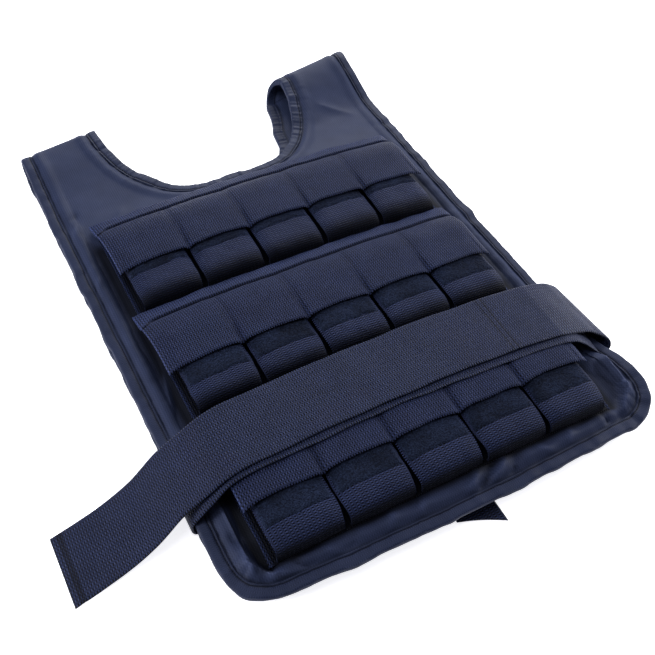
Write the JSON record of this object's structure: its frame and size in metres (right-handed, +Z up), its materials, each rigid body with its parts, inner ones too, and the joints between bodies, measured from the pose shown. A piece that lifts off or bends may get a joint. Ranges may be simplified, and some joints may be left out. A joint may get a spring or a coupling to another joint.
{
  "type": "weighted vest",
  "caption": "Dark padded pull-over exercise vest lying flat, with rows of flapped weight pockets on its front and a wide webbing belt closed over it.",
  "frame": {"origin": "on the floor under the middle of the belt, on the flat underside of the belt where it runs under the vest", "axes": "+X to the viewer's right across the vest, +Y from the hem to the neck, +Z up from the floor, front side up"},
  "size_m": [0.5357, 0.6246, 0.055],
  "materials": {
    "panel_nylon": "matt padded nylon, very dark navy",
    "binding_tape": "matt woven tape, very dark navy",
    "webbing": "ribbed webbing, very dark navy",
    "loop_pile": "fuzzy loop tape, very dark navy",
    "pack_cover": "plain black pack cover"
  },
  "bodies": {
    "root": {"front_panel": "panel_nylon", "back_panel": "panel_nylon", "binding_outer": "binding_tape", "binding_neck": "binding_tape", "pocket_base_1": "webbing", "pocket_face_1_1": "webbing", "weight_1_1": "pack_cover", "loop_tape_1_1": "loop_pile", "pocket_face_1_2": "webbing", "weight_1_2": "pack_cover", "loop_tape_1_2": "loop_pile", "pocket_face_1_3": "webbing", "weight_1_3": "pack_cover", "loop_tape_1_3": "loop_pile", "pocket_face_1_4": "webbing", "weight_1_4": "pack_cover", "loop_tape_1_4": "loop_pile", "pocket_face_1_5": "webbing", "weight_1_5": "pack_cover", "loop_tape_1_5": "loop_pile", "flap_1": "webbing", "pocket_base_2": "webbing", "pocket_face_2_1": "webbing", "weight_2_1": "pack_cover", "loop_tape_2_1": "loop_pile", "pocket_face_2_2": "webbing", "weight_2_2": "pack_cover", "loop_tape_2_2": "loop_pile", "pocket_face_2_3": "webbing", "weight_2_3": "pack_cover", "loop_tape_2_3": "loop_pile", "pocket_face_2_4": "webbing", "weight_2_4": "pack_cover", "loop_tape_2_4": "loop_pile", "pocket_face_2_5": "webbing", "weight_2_5": "pack_cover", "loop_tape_2_5": "loop_pile", "flap_2": "webbing", "pocket_base_3": "webbing", "pocket_face_3_1": "webbing", "weight_3_1": "pack_cover", "loop_tape_3_1": "loop_pile", "pocket_face_3_2": "webbing", "weight_3_2": "pack_cover", "loop_tape_3_2": "loop_pile", "pocket_face_3_3": "webbing", "weight_3_3": "pack_cover", "loop_tape_3_3": "loop_pile", "pocket_face_3_4": "webbing", "weight_3_4": "pack_cover", "loop_tape_3_4": "loop_pile", "pocket_face_3_5": "webbing", "weight_3_5": "pack_cover", "loop_tape_3_5": "loop_pile", "flap_3": "webbing", "belt_over": "webbing", "belt_under": "webbing", "rear_strap": "webbing"}
  },
  "joints": []
}
